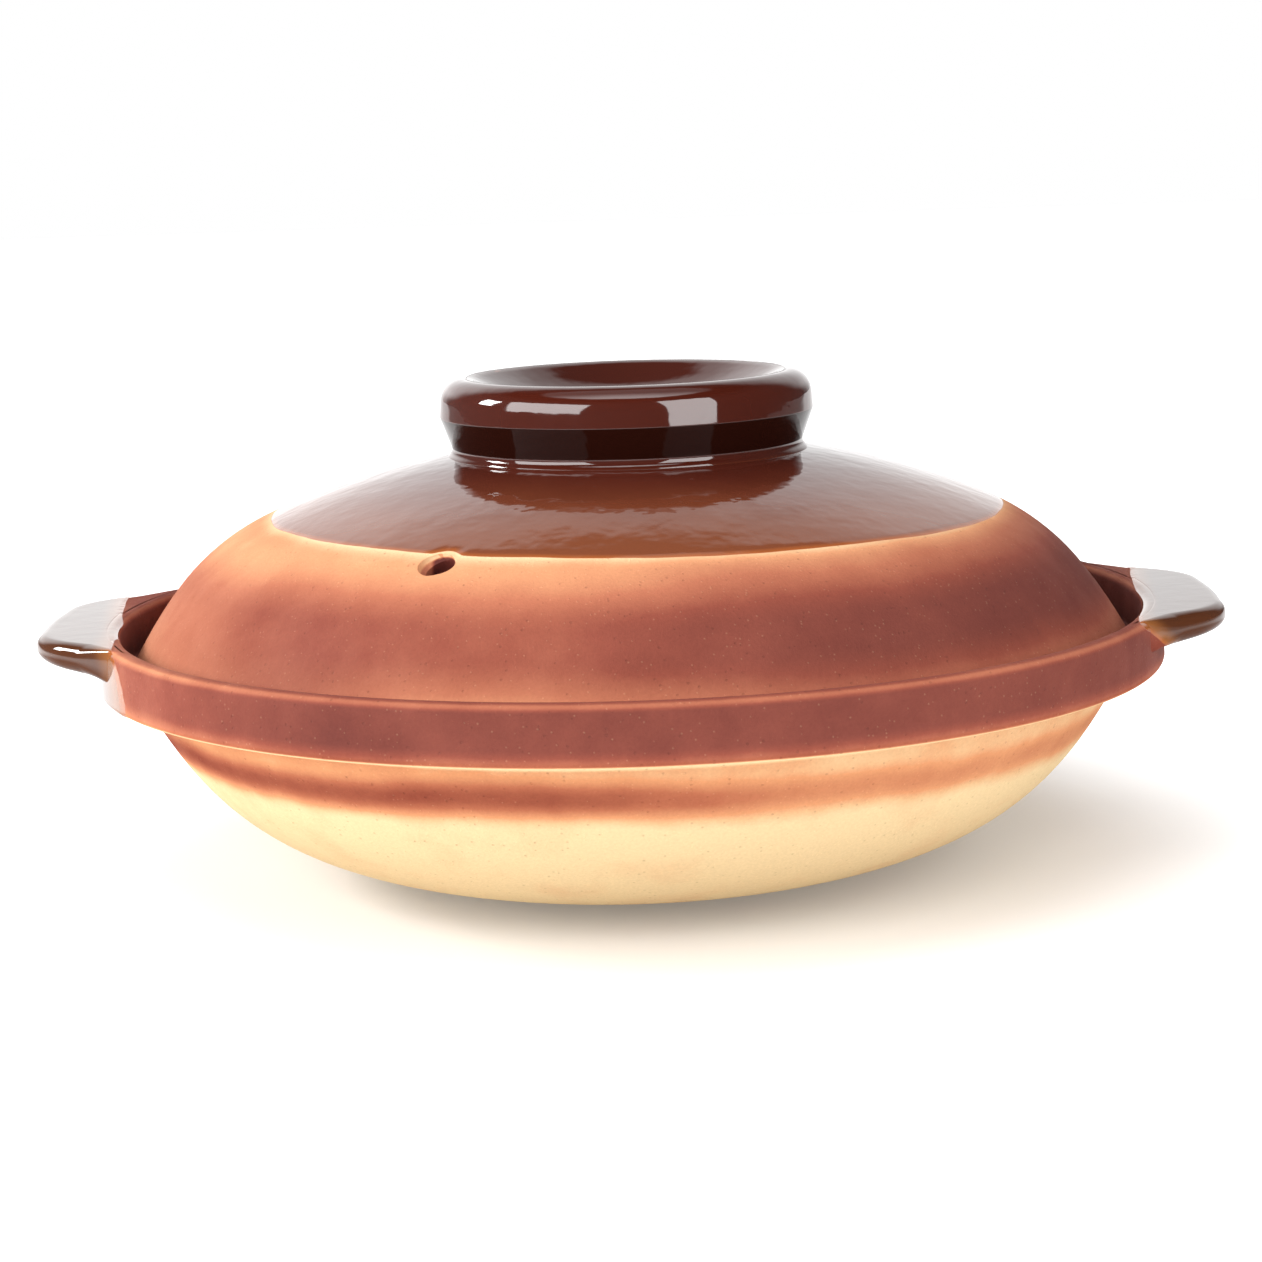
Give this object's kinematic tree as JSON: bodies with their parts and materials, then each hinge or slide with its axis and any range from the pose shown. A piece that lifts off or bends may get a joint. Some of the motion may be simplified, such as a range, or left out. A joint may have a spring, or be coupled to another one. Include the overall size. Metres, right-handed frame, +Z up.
{
  "type": "lidded clay cooking pot",
  "caption": "Shallow round clay pot with a wide collar, lug handles and a loose domed lid with a ring knob and steam hole.",
  "frame": {"origin": "on the table under the middle of the pot", "axes": "+Z up through the knob; the two handles lie along X; the steam hole is at the front, towards -Y"},
  "size_m": [0.2986, 0.2698, 0.1248],
  "materials": {
    "clay_body": "matt, sandy stoneware, cream below and sprayed iron red-brown above",
    "clay_lid": "matt iron-washed stoneware, with a glossy brown glaze over the crown",
    "brown_glaze": "glossy amber-brown iron glaze"
  },
  "bodies": {
    "pot": {"bowl": "clay_body", "handle_left": "brown_glaze", "handle_right": "brown_glaze"},
    "lid": {"lid": "clay_lid", "lid_knob": "brown_glaze"}
  },
  "joints": [
    {"name": "lid_lift", "type": "slide", "parent": "pot", "child": "lid", "axis": [0, 0, 1], "range_m": [0, 0.12]}
  ]
}
